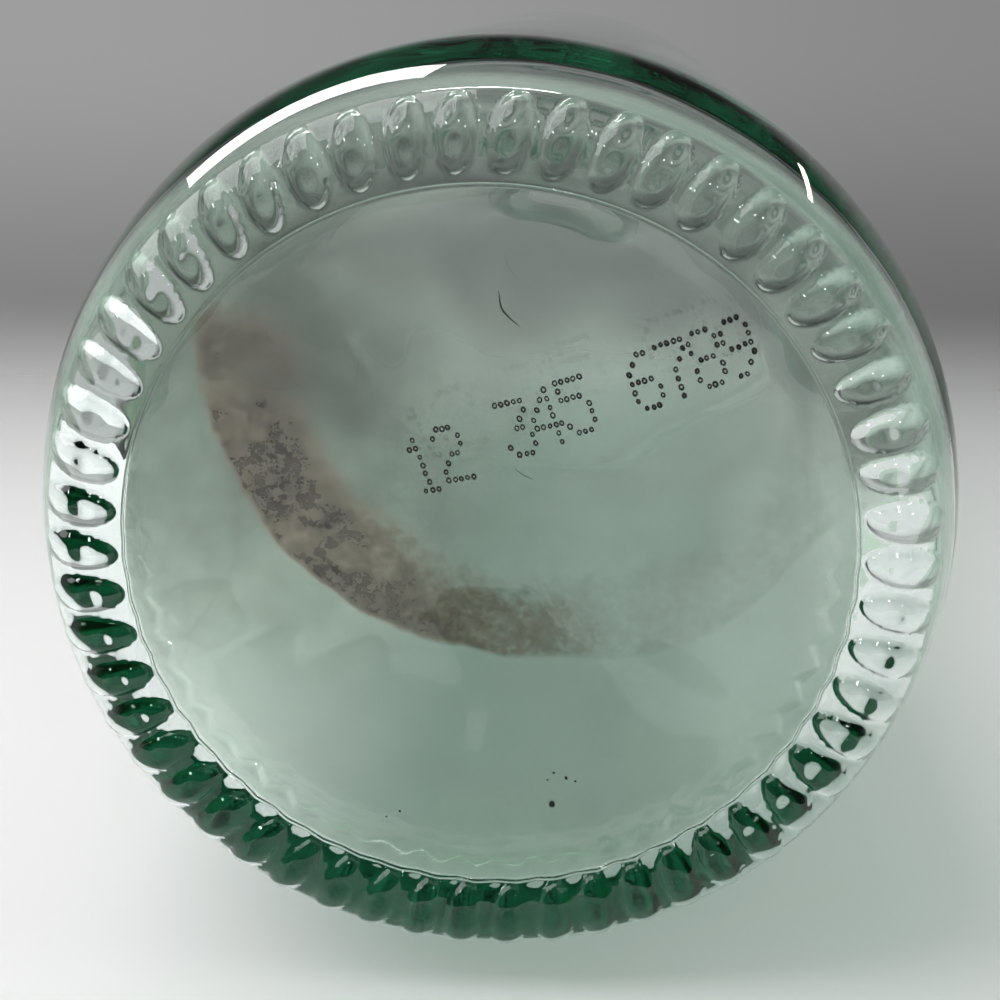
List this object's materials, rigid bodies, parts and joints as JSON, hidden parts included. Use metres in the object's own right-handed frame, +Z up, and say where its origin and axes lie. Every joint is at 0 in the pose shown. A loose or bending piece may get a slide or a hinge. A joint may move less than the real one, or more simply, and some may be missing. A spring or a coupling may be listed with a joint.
{
  "type": "glass soda bottle",
  "caption": "Empty soda bottle of pale green glass, with a straight body, a long neck, a crown finish and a knurled standing ring round a shallow push-up.",
  "frame": {"origin": "on the bottle's axis, level with the worn tips of the knurls that it stands on", "axes": "+Z up along the bottle's axis, from the base to the mouth; X and Y are radial, and a knurl lies on +X"},
  "size_m": [0.061, 0.061, 0.236],
  "materials": {
    "green_glass": "pale sea-green soda glass, polished by fire, with fine dust and a printed date code in black dots under the base"
  },
  "bodies": {
    "root": {"glass_bottle": "green_glass"}
  },
  "joints": []
}
